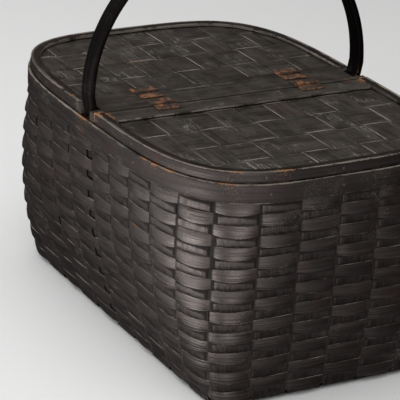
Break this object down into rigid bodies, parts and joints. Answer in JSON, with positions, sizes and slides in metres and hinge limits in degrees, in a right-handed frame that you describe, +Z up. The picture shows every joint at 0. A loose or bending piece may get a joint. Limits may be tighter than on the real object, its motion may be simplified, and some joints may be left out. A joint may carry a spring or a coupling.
{
  "type": "picnic basket",
  "caption": "Rectangular woven splint picnic basket with a fixed centre board, two hinged lids and a bentwood arch handle.",
  "frame": {"origin": "on the floor, under the middle of the basket", "axes": "+X along the basket towards the lid with the wide rail, +Y across it towards the back, +Z up"},
  "size_m": [0.432, 0.3, 0.3835],
  "materials": {
    "stake_splint": "dark stained split wood, worn satin",
    "weaver_splint": "dark stained split wood, worn satin",
    "rim_wood": "dark stained bentwood, satin, worn at the edges",
    "handle_wood": "nearly black stained bentwood, satin",
    "board_wood": "grey-brown stained board, satin",
    "lid_splint": "grey-olive stained split wood, dry",
    "rusted_steel": "rusted thin sheet steel"
  },
  "bodies": {
    "basket": {"cross_stake_01": "stake_splint", "cross_stake_02": "stake_splint", "cross_stake_03": "stake_splint", "cross_stake_04": "stake_splint", "cross_stake_05": "stake_splint", "cross_stake_06": "stake_splint", "cross_stake_07": "stake_splint", "cross_stake_08": "stake_splint", "cross_stake_09": "stake_splint", "cross_stake_10": "stake_splint", "long_stake_01": "stake_splint", "long_stake_02": "stake_splint", "long_stake_03": "stake_splint", "long_stake_04": "stake_splint", "long_stake_05": "stake_splint", "long_stake_06": "stake_splint", "weaver_01": "weaver_splint", "weaver_02": "weaver_splint", "weaver_03": "weaver_splint", "weaver_04": "weaver_splint", "weaver_05": "weaver_splint", "weaver_06": "weaver_splint", "weaver_07": "weaver_splint", "weaver_08": "weaver_splint", "weaver_09": "weaver_splint", "weaver_10": "weaver_splint", "weaver_11": "weaver_splint", "weaver_12": "weaver_splint", "weaver_13": "weaver_splint", "weaver_14": "weaver_splint", "weaver_15": "weaver_splint", "weaver_16": "weaver_splint", "weaver_17": "weaver_splint", "weaver_18": "weaver_splint", "weaver_19": "weaver_splint", "outer_rim": "rim_wood", "inner_rim": "rim_wood", "handle": "handle_wood", "centre_board": "board_wood", "near_hinge_01_board_leaf": "rusted_steel", "near_hinge_01_pin": "rusted_steel", "near_hinge_02_board_leaf": "rusted_steel", "near_hinge_02_pin": "rusted_steel", "far_hinge_01_board_leaf": "rusted_steel", "far_hinge_01_pin": "rusted_steel", "far_hinge_02_board_leaf": "rusted_steel", "far_hinge_02_pin": "rusted_steel"},
    "near_lid": {"near_lid_outer_hoop": "rim_wood", "near_lid_binding": "rim_wood", "near_lid_panel": "lid_splint", "near_lid_rail": "board_wood", "near_hinge_01_lid_leaf": "rusted_steel", "near_hinge_02_lid_leaf": "rusted_steel"},
    "far_lid": {"far_lid_outer_hoop": "rim_wood", "far_lid_binding": "rim_wood", "far_lid_panel": "lid_splint", "far_lid_rail": "board_wood", "far_hinge_01_lid_leaf": "rusted_steel", "far_hinge_02_lid_leaf": "rusted_steel"}
  },
  "joints": [
    {"name": "near_lid_hinge", "type": "hinge", "parent": "basket", "child": "near_lid", "pos_m": [0.0151, 0, 0.2254], "axis": [0, -1, 0], "range_deg": [0, 92]},
    {"name": "far_lid_hinge", "type": "hinge", "parent": "basket", "child": "far_lid", "pos_m": [-0.0191, 0, 0.2254], "axis": [0, 1, 0], "range_deg": [0, 92]}
  ]
}
